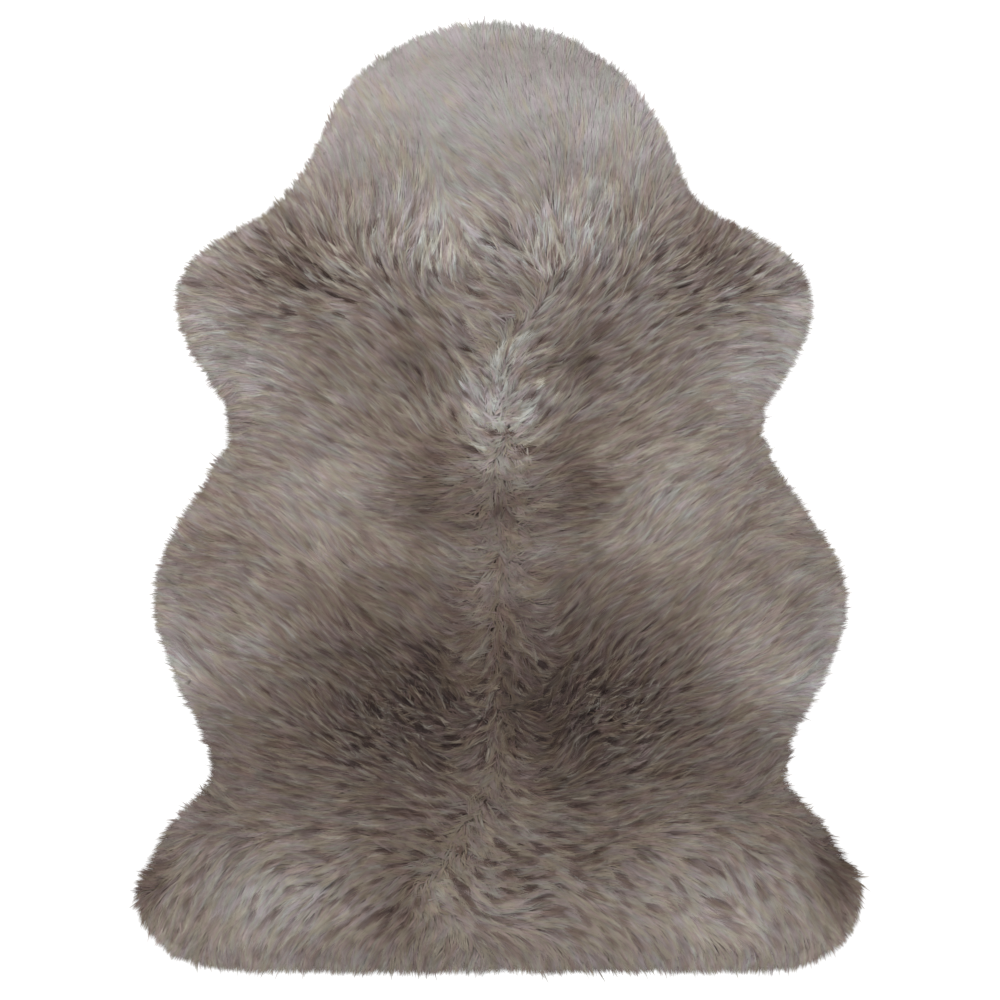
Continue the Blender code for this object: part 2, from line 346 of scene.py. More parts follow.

# Single locks that stand out and gaps that open between locks: where, which way they run, how
# long and wide they are, and how much lighter or darker than the coat. The darker marks are sunk
# and painted with the shade that falls in them.
MARK_COLUMNS = ("place", "across", "along", "heading", "length", "width", "shift", "sides")
MARKS = (
    ("neck, dark lock", 5, 314, 120, 12, 5, -0.15),
    ("throat, dark lock", -23, 251, 155, 13, 5, -0.17),
    ("throat, long gap", 125, 284, 80, 10, 2.5, -0.13, BOTH),
    ("throat, side gap", 107, 255, 83, 8, 4, -0.15, BOTH),
    ("throat, outer gap", 155, 242, 12, 9, 4, -0.17, BOTH),
    ("throat, slant gap", 120, 234, 58, 8, 2.5, -0.15, BOTH),
    ("throat, low gap", 102, 229, 42, 8, 3, -0.12, BOTH),
    ("throat, lock ends", 68, 237, 93, 10, 9, 0.12, BOTH),
    ("throat, under ends", 64, 225, 17, 9, 3.5, -0.20, BOTH),
    ("throat, middle gap", 21, 228, 165, 9, 3.5, -0.14),
    ("throat, hem", 168, 207, 10, 14, 3, -0.12, BOTH),
    ("throat, inner hem", 122, 206, 12, 9, 3, -0.12, BOTH),
    ("shoulder line", 205, 219, 24, 30, 4, -0.13, BOTH),
    ("arm line", 308, 217, 5, 14, 4, -0.18, BOTH),
    ("breast, dark lock", 101, 171, 25, 10, 5, -0.16, BOTH),
    ("chest tuft, left lock", 2, 155, 55, 14, 4, 0.34),
    ("chest tuft, lower lock", -3, 138, 92, 9, 4, 0.28),
    ("chest tuft, top lock", 26, 162, 20, 10, 3.5, 0.26),
    ("chest tuft, right lock", 11, 146, 75, 12, 4, 0.24),
    ("chest tuft, gap", 42, 160, 30, 7, 4, -0.28),
    ("bib, horn", 41, 117, 75, 8, 3.5, 0.22, BOTH),
    ("bib, inner gap", 34, 105, 35, 6, 3, -0.34, BOTH),
    ("bib, middle", -3, 86, 90, 16, 10, 0.12),
    ("bib, arm", 26, 86, 50, 17, 4, 0.14, BOTH),
    ("bib, outer gap", 47, 86, 75, 7, 3, -0.32, BOTH),
    ("bib, notch", 10, 67, 0, 6, 4, -0.36, BOTH),
    ("bib, lower lock", 30, 58, 35, 12, 3, 0.18, BOTH),
    ("bib, lower gap", 26, 48, 28, 11, 3, -0.36, BOTH),
    ("haunch, upper gap", 78, -154, 85, 11, 4, -0.07, BOTH),
    ("haunch, long gap", 78, -226, 37, 24, 4, -0.07, BOTH),
    ("rump, pale lock", 30, -156, 132, 30, 7, 0.06, BOTH),
    ("rump, arc", 78, -302, 0, 16, 3, -0.15, BOTH),
    ("rump, dark lock", -69, -291, 170, 10, 4, -0.13),
    ("root of tail, dark lock", -79, -313, 45, 8, 7, -0.11),
    ("tail, dark arc", -89, -370, 165, 22, 3, -0.10),
    ("tail, pale lock", -56, -387, 70, 11, 3.5, 0.12),
    ("tail, pale edge lock", -62, -452, 75, 10, 4, 0.12),
    ("tail, high gap", 218, -370, 162, 15, 1.8, -0.10, BOTH),
    ("tail, wide gap", 222, -399, 140, 16, 1.8, -0.10, BOTH),
    ("tail, steep gap", 225, -414, 118, 14, 1.8, -0.10, BOTH),
    ("tail, inner gap", 145, -402, 140, 16, 1.8, -0.11, BOTH),
    ("tail, edge gap", 161, -457, 135, 16, 1.8, -0.11),
    ("foot, top gap", 264, -330, 160, 12, 2.5, -0.09, BOTH),
    ("foot, gap", 296, -380, 111, 13, 2.5, -0.09, BOTH),
    ("foot, edge gap", 255, -454, 130, 14, 2.5, -0.09, BOTH),
    ("foot, outer gap", 325, -435, 117, 11, 2.5, -0.09, BOTH),
)

# How strongly the strands and the locks stand out: 1 is the middle of the coat.
STRAND_CONTRAST = (
    ("neck", 0, 410, 200, 110, -1.0),
    ("throat", 0, 250, 180, 45, 1.4),
    ("shoulder", 200, 235, 75, 45, 1.2, BOTH),
    ("chest", 5, 130, 50, 60, 0.5),
    ("spine", 0, -100, 26, 200, -0.5),
    ("haunch", 95, -210, 85, 65, 1.9, BOTH),
    ("tail", 0, -400, 400, 80, -0.85),
)
LOCK_CONTRAST = (
    ("neck", 0, 410, 200, 110, -0.85),
    ("throat", 0, 255, 180, 45, 0.9),
    ("shoulder", 200, 235, 75, 45, 0.4, BOTH),
    ("chest", 0, 120, 60, 70, 0.7),
    ("flank", 250, -100, 90, 120, -0.25, BOTH),
    ("haunch", 90, -215, 100, 65, -0.4, BOTH),
    ("tail", 0, -400, 400, 80, -0.5),
)

# How far the gaps between the locks open, and so how deep they sink and how much painted shade they
# get.
GAP_MIDDLE = 0.6
GAPS = (
    ("neck", 0, 420, 210, 110, -0.6),
    ("throat", 0, 245, 200, 40, 1.7),
    ("shoulder", 200, 215, 90, 55, 1.3, BOTH),
    ("chest", 0, 140, 130, 70, 1.1),
    ("haunch", 90, -215, 100, 70, 2.2, BOTH),
    ("tail", 0, -420, 400, 60, -0.5),
)
WIDE_GAP_MIDDLE = 0.0
WIDE_GAPS = (
    ("throat", 0, 225, 200, 30, 0.5),
    ("shoulder", 200, 215, 90, 55, 0.2, BOTH),
    ("above tail", 0, -320, 380, 40, 0.7),
    ("tail", 0, -380, 180, 80, 2.3),
    ("foot", 250, -395, 120, 60, 1.3, BOTH),
)

# How much farther the wool reaches past the solid's even edge.
RIM_SHIFTS = (
    ("side of neck, left", -240, 280, 30, 25, -3),
    ("side of neck, right", 200, 298, 25, 30, -6),
    ("waist, left", -268, 75, 25, 35, -7),
    ("waist, right", 262, 68, 25, 40, -8),
    ("flank, right", 305, -10, 20, 25, -5),
    ("under haunch, left", -290, -290, 22, 22, -6),
    ("under haunch, right", 288, -288, 22, 22, -9),
    ("arm, left", -320, 190, 20, 60, 2),
    ("foot, left", -360, -420, 25, 35, 5),
    ("crown", -40, 472, 60, 20, 3),
)

# How far each tuft turns from the coat, in radians.
TUFT_LEAN = 0.10
TUFT_LEANS = (
    ("haunch", 95, -215, 50, 42, 0.38, BOTH),
    ("spine", 0, -100, 24, 210, 0.45),
    ("tail, middle", -30, -350, 40, 50, 0.3),
)

# How long the fibres are, against those of the middle of the coat.
LENGTHS = (
    ("haunch, curls", 95, -215, 50, 42, -0.30, BOTH),
    ("spine", 0, -100, 26, 210, -0.35),
    ("tail, middle", -30, -350, 40, 50, -0.25),
    ("throat", 0, 250, 180, 40, -0.25),
    ("chest", 5, 105, 55, 60, -0.55),
    ("haunch", 90, -215, 80, 55, -0.35, BOTH),
    ("tail", 0, -400, 380, 60, -0.20),
)

# How far the coat turns from the comb, in radians.
LEAN = 0.18
LEANS = (
    ("chest", 0, 120, 60, 70, 0.15),
    ("haunch", 98, -215, 50, 40, 0.22, BOTH),
    ("tail", 0, -390, 330, 60, 0.12),
)

# How far the tips of a lock draw together: 1 is the draw reach where a lock is steepest.
DRAW_MIDDLE = 0.4
DRAWS = (
    ("throat", 0, 255, 200, 35, 0.6),
    ("chest", 0, 110, 60, 70, 0.4),
    ("tail", 0, -400, 400, 70, 0.6),
)


def table_rows(columns, table):
    """Each row of a table by its columns, with its side. A row for both sides comes twice."""
    for values in table:
        row = dict(zip(columns, values))
        for side in row.get("sides", ONE):
            yield row, side


class Lattice:
    """A regular lattice over the pelt, and values read between its points."""

    def __init__(self, low, high, pitch):
        self.pitch = pitch
        self.low = np.array(low) - FIELD_MARGIN
        size = np.array(high) - self.low + FIELD_MARGIN
        self.count = np.ceil(size / pitch).astype(int) + 1
        across = self.low[0] + np.arange(self.count[0]) * pitch
        along = self.low[1] + np.arange(self.count[1]) * pitch
        self.points = np.stack(np.meshgrid(across, along), axis=-1)
        self.shape = self.points.shape[:2]
        self.flat = self.points.reshape(-1, 2)

    def sample(self, values, points):
        at = (points - self.low) / self.pitch
        at = np.clip(at, 0.0, self.count - LAST_CELL)
        cell = at.astype(int)
        part = at - cell
        i, j = cell[:, 0], cell[:, 1]
        a, b = part[:, 0], part[:, 1]
        if values.ndim == 3:
            a, b = a[:, None], b[:, None]
        below = values[j, i] * (1 - a) + values[j, i + 1] * a
        above = values[j + 1, i] * (1 - a) + values[j + 1, i + 1] * a
        return below * (1 - b) + above * b

    def noise(self, width, rng):
        """Soft noise of unit spread, its spots as wide as said."""
        # Blurring widens a spot as the root of the rounds.
        rounds = max(1, round(2 * (width / self.pitch) ** 2))
        values = blurred(rng.normal(size=self.shape), rounds)
        return values / values.std()

    def slopes(self, values):
        """How steeply the values rise to the right and towards the neck."""
        along, across = np.gradient(values, self.pitch)
        return np.stack((across, along), axis=-1)


def blurred(values, rounds, axes=(0, 1)):
    """Values evened out with their neighbours along the axes, round by round."""
    for _ in range(rounds):
        for axis in axes:
            beside = np.roll(values, -1, axis=axis) + np.roll(values, 1, axis=axis)
            values = 0.5 * values + 0.25 * beside
    return values


def even_edge(corners):
    """The solid's even edge on the floor, inside its locks, as a closed line."""
    floor = corners[corners[:, 2] < FLOOR_LEVEL][:, :2]
    spokes = floor - PELT_MIDDLE
    angles = np.arctan2(spokes[:, 1], spokes[:, 0])
    lengths = np.linalg.norm(spokes, axis=1)
    bins = ((angles + math.pi) / (2 * math.pi) * EDGE_BINS).astype(int) % EDGE_BINS
    line = []
    for i in range(EDGE_BINS):
        members = np.nonzero(bins == i)[0]
        if len(members):
            line.append(members[lengths[members].argmin()])
    line = np.array(line)
    line = line[np.argsort(angles[line])]
    return floor[line]


def even_steps(line, count):
    """A closed line cut into steps of equal length."""
    closed = np.concatenate((line, line[:1]))
    lengths = np.linalg.norm(np.diff(closed, axis=0), axis=1)
    along = np.concatenate(([0.0], np.cumsum(lengths)))
    wanted = np.linspace(0.0, along[-1], count, endpoint=False)
    return np.column_stack([np.interp(wanted, along, closed[:, axis]) for axis in (0, 1)])


def smoothed_line(line, rounds):
    """A closed line with its corners evened out."""
    return blurred(line, rounds, axes=(0,))


def outward(line):
    """The direction square to a counter-clockwise closed line at each of its points."""
    along = np.roll(line, -1, axis=0) - np.roll(line, 1, axis=0)
    across = np.column_stack((along[:, 1], -along[:, 0]))
    return across / np.linalg.norm(across, axis=1)[:, None]


def nearest_of(centres, points):
    """For each point, which centre is nearest."""
    tree = KDTree(len(centres))
    for i, (x, y) in enumerate(centres):
        tree.insert((x, y, 0.0), i)
    tree.balance()
    return np.array([tree.find((x, y, 0.0))[1] for x, y in points])


def inside_line(points, line):
    """How far inside the closed line each point lies, and the way out from there."""
    nearest = nearest_of(line, points)
    gaps = line[nearest] - points
    distance = np.linalg.norm(gaps, axis=1)
    out = outward(line)[nearest]
    side = np.sign((gaps * out).sum(axis=1))
    return distance * side, out


def coat_height(lattice, node):
    """Height of the solid's top over the lattice, evened out."""
    mesh = node.data
    tree = BVHTree.FromPolygons([v.co for v in mesh.vertices], [p.vertices for p in mesh.polygons])
    down = Vector((0.0, 0.0, -1.0))
    heights = np.zeros(lattice.shape)
    for j, row in enumerate(lattice.points):
        for i, (x, y) in enumerate(row):
            hit = tree.ray_cast(Vector((x, y, LOOK_FROM)), down)[0]
            if hit is not None:
                heights[j, i] = hit.z
    return blurred(heights, HEIGHT_ROUNDS)


def turned(vectors, angles):
    """Flat vectors turned by their angles."""
    c, s = np.cos(angles), np.sin(angles)
    x, y = vectors[:, 0], vectors[:, 1]
    return np.column_stack((c * x - s * y, s * x + c * y))


def comb_strokes():
    """The comb table as arrays: middles, directions and reaches, both sides written out."""
    middles, lies, reaches = [], [], []
    spine = [("spine line", 0, along, SPINE_HEADING, SPINE_REACH) for along in range(*SPINE_LINE)]
    for stroke, side in table_rows(COMB_COLUMNS, (*COMB, *spine)):
        heading = math.radians(stroke["heading"])
        middles.append((stroke["across"] * side, stroke["along"]))
        lies.append((math.cos(heading) * side, math.sin(heading)))
        reaches.append(stroke["reach"] * STROKE_REACH)
    return np.array(middles) * MM, np.array(lies), np.array(reaches) * MM


def rim_share(inside, depth):
    """1 at the rim, and less and less inside, over a depth."""
    return np.exp(-np.maximum(inside, 0.0) / depth)


def combed(points, inside, out, picks):
    """Which way the wool lies at each point, and how far the strokes part there, from 0 to 1.

    The lie is the mean of the strokes near the point, turned towards one of them that its
    pick, from 0 to 1, chooses.
    """
    middles, lies, reaches = comb_strokes()
    weights = np.empty((len(points), len(middles)))
    for i, (middle, reach) in enumerate(zip(middles, reaches)):
        square = ((points - middle) ** 2).sum(axis=1)
        weights[:, i] = np.exp(-square / reach ** 2) + NEARLY_NOTHING
    weights /= weights.sum(axis=1)[:, None]
    mean = weights @ lies
    picked = (np.cumsum(weights, axis=1) < picks[:, None]).sum(axis=1)
    picked = lies[np.minimum(picked, len(lies) - 1)]
    lie = mean + STROKE_SHARE * (picked - mean)
    rim = rim_share(inside, RIM_PULL)[:, None]
    lie = lie * (1 - RIM_LOSS * rim) + out * rim * RIM_OUTWARD
    parting = 1.0 - np.linalg.norm(mean, axis=1)
    return lie / np.linalg.norm(lie, axis=1)[:, None], parting


def zone_field(lattice, middle, zones):
    """A value over the lattice: its middle, and a soft shift in each zone of a table."""
    points = lattice.points / MM
    values = np.full(lattice.shape, middle)
    for zone, side in table_rows(ZONE_COLUMNS, zones):
        across = (points[..., 0] - zone["across"] * side) / zone["reach_across"]
        along = (points[..., 1] - zone["along"]) / zone["reach_along"]
        values += zone["shift"] * np.exp(-(across ** 2 + along ** 2))
    return values


def mark_field(lattice):
    """How much the single locks and gaps shift the tone over the lattice; the darker ones are painted
    shade.
    """
    points = lattice.points / MM
    tone = np.zeros(lattice.shape)
    for mark, side in table_rows(MARK_COLUMNS, MARKS):
        heading = math.radians(mark["heading"])
        lie = np.array((math.cos(heading) * side, math.sin(heading)))
        gap = points - (mark["across"] * side, mark["along"])
        along = gap @ lie / mark["length"]
        across = gap @ np.array((-lie[1], lie[0])) / mark["width"]
        tone += mark["shift"] * np.exp(-(across ** 2 + along ** 2))
    return tone


def streak_fields(lattice, fine, lie, rng):
    """Noise drawn out along the lie of the wool: a fine field of unit spread for each streak."""
    rows = [dict(zip(STREAK_COLUMNS, row)) for row in STREAKS]
    reaches = np.array([row["reach"] for row in rows]) * MM
    noise = np.stack([fine.noise(row["width"] * MM, rng) for row in rows], axis=-1)
    total = fine.sample(noise, fine.flat)
    for way in (1, -1):
        at = fine.flat
        for walked in np.arange(STREAK_STEP, reaches.max(), STREAK_STEP):
            at = at + lattice.sample(lie, at) * way * STREAK_STEP
            total += fine.sample(noise, at) * (walked < reaches)
    total = (total - total.mean(axis=0)) / total.std(axis=0)
    total = total.reshape(*fine.shape, len(rows))
    return {row["name"]: total[..., i] for i, row in enumerate(rows)}


def read_pelt(node, rng):
    """The pelt's edge and height, and which way the wool lies over it."""
    corners = np.empty(len(node.data.vertices) * 3)
    node.data.vertices.foreach_get("co", corners)
    corners = corners.reshape(-1, 3)
    lattice = Lattice(corners.min(axis=0)[:2], corners.max(axis=0)[:2], FIELD_PITCH)
    edge = smoothed_line(even_steps(even_edge(corners), EDGE_STEPS), EDGE_ROUNDS)
    inside, out = inside_line(lattice.flat, edge)
    inside = inside + EDGE_TO_WOOL_LINE
    lean = lattice.noise(LEAN_WIDTH, rng) * zone_field(lattice, LEAN, LEANS)
    blur = np.stack([lattice.noise(MIXED_WIDTH, rng) for _ in (0, 1)], axis=-1) * MIXED_REACH
    picks = 1 / (1 + np.exp(-PICK_STEEPNESS * lattice.noise(MIXED_WIDTH, rng)))
    lie, parting = combed(lattice.flat + blur.reshape(-1, 2), inside, out, picks.ravel())
    lie = turned(lie, lean.ravel())
    return {
        "lattice": lattice,
        "edge": edge,
        "inside": inside.reshape(lattice.shape),
        "out": blurred(out.reshape(lattice.points.shape), FIELD_ROUNDS),
        "lie": lie.reshape(lattice.points.shape),
        "parting": blurred(parting.reshape(lattice.shape), FIELD_ROUNDS),
        "height": coat_height(lattice, node),
    }


def opened(noise, start):
    """How far a gap opens: noise above the start, about a mean of nothing."""
    above = np.clip(noise - start, 0.0, GAP_FULLY_OPEN)
    return above - above.mean()


def read_coat(pelt, rng):
    """The relief, tone and hue of the coat over a fine lattice."""
    lattice = pelt["lattice"]
    fine = Lattice(lattice.low + FIELD_MARGIN, lattice.flat[-1] - FIELD_MARGIN, STREAK_PITCH)
    streaks = streak_fields(lattice, fine, pelt["lie"], rng)

    def read_here(name):
        return lattice.sample(pelt[name], fine.flat).reshape(fine.shape)

    whole = 1.0 - read_here("parting")
    contrast = zone_field(fine, 1.0, STRAND_CONTRAST)
    strand = (streaks["strand"] - blurred(streaks["strand"], STRAND_ROUNDS)) * contrast * whole
    lock_contrast = zone_field(fine, 1.0, LOCK_CONTRAST) * whole
    lock = streaks["lock"] * lock_contrast
    gap = opened(streaks["gap"], GAP_FROM) * zone_field(fine, GAP_MIDDLE, GAPS)
    wide_gap = opened(streaks["wide gap"], WIDE_GAP_FROM)
    wide_gap *= zone_field(fine, WIDE_GAP_MIDDLE, WIDE_GAPS)
    marks = mark_field(fine)

    lift = strand * STRAND_LIFT + lock * LOCK_LIFT + marks * MARK_LIFT
    lift -= (gap + wide_gap) * whole * GAP_DEPTH
    lift *= np.clip(read_here("height") / FULL_COAT, 0.0, 1.0)

    # Painted shade in the gaps: darker than the coat around them, and violet.
    painted_gap_shade = (gap - blurred(gap, GAP_ROUNDS)) * PAINTED_GAP_SHADE * whole
    painted_gap_shade += wide_gap * PAINTED_WIDE_GAP_SHADE * whole
    tone = zone_field(fine, MIDDLE_TONE, TONES) + marks - blurred(marks, MARK_ROUNDS) - painted_gap_shade
    tone += RIM_TONE * rim_share(read_here("inside"), RIM_PULL)
    tone += strand * STRAND_TONE + lock * LOCK_TONE + streaks["wave"] * lock_contrast * WAVE_TONE

    green = streaks["strand"] * STRAND_GREEN + streaks["strand tint"] * TINT_GREEN
    green += (marks - painted_gap_shade) * MARK_GREEN
    warmth = (streaks["lock tint"] + streaks["strand tint"]) * TINT_WARMTH
    warmth += zone_field(fine, MIDDLE_WARMTH, WARMTHS)
    return {
        "fine": fine,
        "lift": lift,
        "lift_slope": fine.slopes(lift),
        "lock_slope": fine.slopes(streaks["lock"]),
        "draw": zone_field(fine, DRAW_MIDDLE, DRAWS) * DRAW_REACH,
        "tone": tone,
        "unevenness": EVEN_COAT + (1.0 - EVEN_COAT) * contrast,
        "green": green,
        "warmth": warmth,
    }


def spread_points(low, high, count, rng):
    """About so many points, evenly strewn over a rectangle."""
    pitch = math.sqrt(np.prod(high - low) / count)
    counts = np.ceil((high - low) / pitch).astype(int)
    grid = np.stack(np.meshgrid(np.arange(counts[0]), np.arange(counts[1])), axis=-1)
    return low + (grid.reshape(-1, 2) + rng.uniform(*ROOT_ROOM, (counts.prod(), 2))) * pitch


def grow_tufts(pelt, rng):
    """One row for each tuft: where it grows, which way it lies and how long it is."""
    lattice, edge = pelt["lattice"], pelt["edge"]
    low, high = edge.min(axis=0) - EDGE_TO_WOOL_LINE, edge.max(axis=0) + EDGE_TO_WOOL_LINE
    roots = spread_points(low, high, TUFTS / PELT_SHARE, rng)
    roots = roots[lattice.sample(pelt["inside"], roots) > ROOTS_INSIDE]
    roots = roots[np.argsort(-roots[:, 1], kind="stable")]
    count = len(roots)
    parting = lattice.sample(pelt["parting"], roots)
    lean = lattice.sample(zone_field(lattice, TUFT_LEAN, TUFT_LEANS), roots)
    lean = rng.normal(0.0, 1.0, count) * (lean + PARTING_LEAN * parting)
    lie = turned(lattice.sample(pelt["lie"], roots), lean)
    lie /= np.linalg.norm(lie, axis=1)[:, None]
    coat_reach = FIBRE_REACH * lattice.sample(zone_field(lattice, 1.0, LENGTHS), roots)
    coat_reach *= 1.0 - PARTING_LENGTH * parting
    short = SHORT_ENDS * np.clip(1.0 - coat_reach / FIBRE_REACH, 0.0, 1.0)
    short = np.clip(np.maximum(short, PARTING_ENDS * parting / FULL_PARTING), 0.0, PARTING_ENDS)
    rim = rim_share(lattice.sample(pelt["inside"], roots), RIM_DROOP)
    length = (coat_reach * (1 - rim) + RIM_REACH * rim) * rng.uniform(*TUFT_LENGTHS, count)
    return {"roots": roots, "lie": lie, "length": length, "short": short}


# A fibre's sections, as shares of its length. The last is its tip, which has no width.
SECTIONS = np.array((0.0, 0.5, 1.0))
SECTION_WIDTHS = (0.9, 1.0)
SEEN_SECTION = 0.75  # the part of a fibre that shows most


def per_fibre(values):
    """The values of the tufts, repeated for their fibres."""
    return np.repeat(values, FIBRES_PER_TUFT, axis=0)


def uneven(spreads, tuft_count, rng):
    """A shift for each fibre: one that its whole tuft has, and one of its own."""
    of_tuft, of_fibre = spreads
    shift = per_fibre(rng.normal(0.0, of_tuft, tuft_count))
    return shift + rng.normal(0.0, of_fibre, len(shift))


class Fibres:
    """All fibres as they lie seen from above, tuft by tuft."""

    def __init__(self, pelt, coat, tufts, rng):
        lattice, fine = pelt["lattice"], coat["fine"]
        self.tuft_count = len(tufts["roots"])
        self.count = self.tuft_count * FIBRES_PER_TUFT
        self.root = per_fibre(tufts["roots"])
        self.lie = per_fibre(tufts["lie"])
        self.side = np.column_stack((-self.lie[:, 1], self.lie[:, 0]))
        self.length = per_fibre(tufts["length"]) * rng.uniform(*FIBRE_LENGTHS, self.count)
        self.curl = self.follow_lie(pelt, rng)
        radius = TUFT_RADIUS * np.sqrt(rng.uniform(0.0, 1.0, self.count))
        turn = rng.uniform(0.0, 2 * math.pi, self.count)
        self.offset = np.column_stack((np.cos(turn), np.sin(turn))) * radius[:, None]
        inside = lattice.sample(pelt["inside"], self.root)
        self.near_rim = np.clip(1.0 - inside / RIM_DEPTH, 0.0, 1.0)
        gather = per_fibre(rng.uniform(*GATHERS, self.tuft_count)) * (1.0 - self.near_rim)
        self.gather = gather[:, None]
        self.stray = rng.normal(0.0, TIP_STRAY, (self.count, 2))
        seen = self.root + self.offset + self.lie * (self.length * SEEN_SECTION)[:, None]
        steepness = (fine.sample(coat["lock_slope"], seen) * self.side).sum(axis=1)
        self.draw = np.clip(steepness * DRAW_REACH, -1.0, 1.0) * fine.sample(coat["draw"], seen)

    def follow_lie(self, pelt, rng):
        """Shortens the fibres where the lie turns ahead of them. Returns how far they curl."""
        lattice = pelt["lattice"]
        here = lattice.sample(pelt["lie"], self.root)
        ahead = lattice.sample(pelt["lie"], self.root + self.lie * self.length[:, None])
        bend = here[:, 0] * ahead[:, 1] - here[:, 1] * ahead[:, 0]
        agreement = np.clip((here * ahead).sum(axis=1), 0.0, 1.0)
        self.length *= 1.0 - TURNED_LENGTH * (1.0 - agreement)
        own = per_fibre(rng.normal(0.0, TUFT_CURL, self.tuft_count))
        return (TURNED_CURL * bend + own) * self.length

    def places(self, s):
        """Where the fibres are at a share of their length, from 0 at the root to 1."""
        sideways = self.curl * s * s + self.draw * s
        flat = self.root + self.lie * (self.length * s)[:, None] + self.side * sideways[:, None]
        return flat + self.offset * (1.0 - self.gather * s) + self.stray * s

    def end_at_rim(self, pelt, rng):
        """Shortens the fibres whose tips reach too far past the rim."""
        lattice = pelt["lattice"]
        reach = (RIM_REACH_MIDDLE + uneven(RIM_REACHES, self.tuft_count, rng)) * MM
        reach += lattice.sample(zone_field(lattice, 0.0, RIM_SHIFTS), self.root) * MM
        for _ in range(RIM_CUTS):
            tips = self.places(1.0)
            facing = (self.lie * lattice.sample(pelt["out"], tips)).sum(axis=1)
            beyond = np.maximum(-reach - lattice.sample(pelt["inside"], tips), 0.0)
            shorter = self.length - beyond / np.clip(facing, LEAST_FACING, 1.0)
            self.length = np.maximum(shorter, SHORTEST_FIBRE)
            self.curl = self.curl * RIM_CURL_KEPT

    def middle_lines(self, pelt, coat, rng):
        """The middle of each fibre at its sections, from the undercoat to the coat's top."""
        lattice, fine = pelt["lattice"], coat["fine"]
        start = per_fibre(rng.uniform(*ROOT_LEVELS, self.tuft_count))
        start = start + rng.normal(0.0, ROOT_UNEVENNESS, self.count)
        start = 1.0 - (1.0 - start) * np.minimum(self.length / FIBRE_REACH, 1.0)
        start *= 1.0 - self.near_rim * per_fibre(rng.uniform(0.0, 1.0, self.tuft_count))
        rise = uneven(RISES, self.tuft_count, rng) * MM
        rise *= fine.sample(coat["unevenness"], self.root)
        middles = []
        for s in SECTIONS:
            flat = self.places(s)
            level = start + (1.0 - start) * s ** RISE_POWER
            z = lattice.sample(pelt["height"], flat) * level + fine.sample(coat["lift"], flat)
            z = np.maximum(z + rise * s, LOWEST_MIDDLE)
            middles.append(np.column_stack((flat, z)))
        return np.stack(middles, axis=1)


def grow_fibres(pelt, coat, tufts, rng):
    """Corners, tone and hue of every fibre, tuft by tuft, and how far it is cut short."""
    fine = coat["fine"]
    fibres = Fibres(pelt, coat, tufts, rng)
    fibres.end_at_rim(pelt, rng)
    middles = fibres.middle_lines(pelt, coat, rng)

    seen = fibres.places(SEEN_SECTION)
    unevenness = fine.sample(coat["unevenness"], seen)
    tilt = np.arctan((fine.sample(coat["lift_slope"], seen) * fibres.side).sum(axis=1))
    roll = tilt + uneven(ROLLS, fibres.tuft_count, rng) * unevenness
    width = FIBRE_WIDTH * rng.uniform(*FIBRE_WIDTHS, fibres.count)
    corners = fibre_corners(middles, fibres.side, roll, width)

    tone = fine.sample(coat["tone"], seen)
    tone += uneven(TONE_SPREADS, fibres.tuft_count, rng) * unevenness
    warmth, green = (
        fine.sample(coat[name], seen) + rng.uniform(-HUE_SPREAD, HUE_SPREAD, fibres.count)
        for name in ("warmth", "green")
    )
    pair = np.clip(np.round(warmth + MIDDLE_PAIR), 0, HUE_PAIRS - 1)
    return corners, tone, 2 * pair + (green > 0), per_fibre(tufts["short"])


def fibre_corners(middles, side, roll, width):
    """Flat tapered strips along middle lines: two corners at each section and one at the tip."""
    tangent = np.gradient(middles, axis=1)
    tangent /= np.linalg.norm(tangent, axis=2)[..., None] + NEARLY_NOTHING
    level_side = np.column_stack((side, np.zeros(len(side))))[:, None, :]
    up = np.cross(tangent, level_side)
    up /= np.linalg.norm(up, axis=2)[..., None] + NEARLY_NOTHING
    across = level_side * np.cos(roll)[:, None, None] + up * np.sin(roll)[:, None, None]
    corners = []
    for i, share in enumerate(SECTION_WIDTHS):
        half = across[:, i] * (width * share / 2)[:, None]
        corners += [middles[:, i] - half, middles[:, i] + half]
    corners.append(middles[:, -1])
    corners = np.stack(corners, axis=1)
    corners[..., 2] = np.maximum(corners[..., 2], LOWEST_CORNER)
    return corners


# A fibre's corners are numbered pair by pair from the root, and the tip comes last.
CORNERS_PER_FIBRE = 5
FIBRE_FACES = ((0, 1, 3, 2), (2, 3, 4))
CORNER_SIDES = np.array((-1.0, 1.0, -1.0, 1.0, 0.0))
CORNER_SECTIONS = np.repeat(SECTIONS, 2)[:CORNERS_PER_FIBRE]

# The palette that the OFBake map is laid on: darker to lighter across, the hues in rows one
# above the other, and in each row a fibre's root below and its tip above, up the painted depth shade.
HUE_PAIRS = 3
MIDDLE_PAIR = 1
HUE_ROWS = 2 * HUE_PAIRS
ROW_USED = (0.03, 0.97)
TONES_USED = (0.01, 0.99)
PALETTE_HALF_WIDTH = 0.004  # what a fibre's two sides take up


def lay_on_palette(mesh, tone, hue, side, section):
    """The OFBake map, from one value of each kind for every face corner."""
    low, high = ROW_USED
    u = np.clip(tone, *TONES_USED) + side * PALETTE_HALF_WIDTH
    v = (hue + low + (high - low) * section) / HUE_ROWS
    places = np.stack((u, v), axis=-1).astype(np.float32)
    mesh.uv_layers.new(name="OFBake").data.foreach_set("uv", places.ravel())


def new_object(name, data):
    piece = bpy.data.objects.new(name, data)
    bpy.context.collection.objects.link(piece)
    return piece


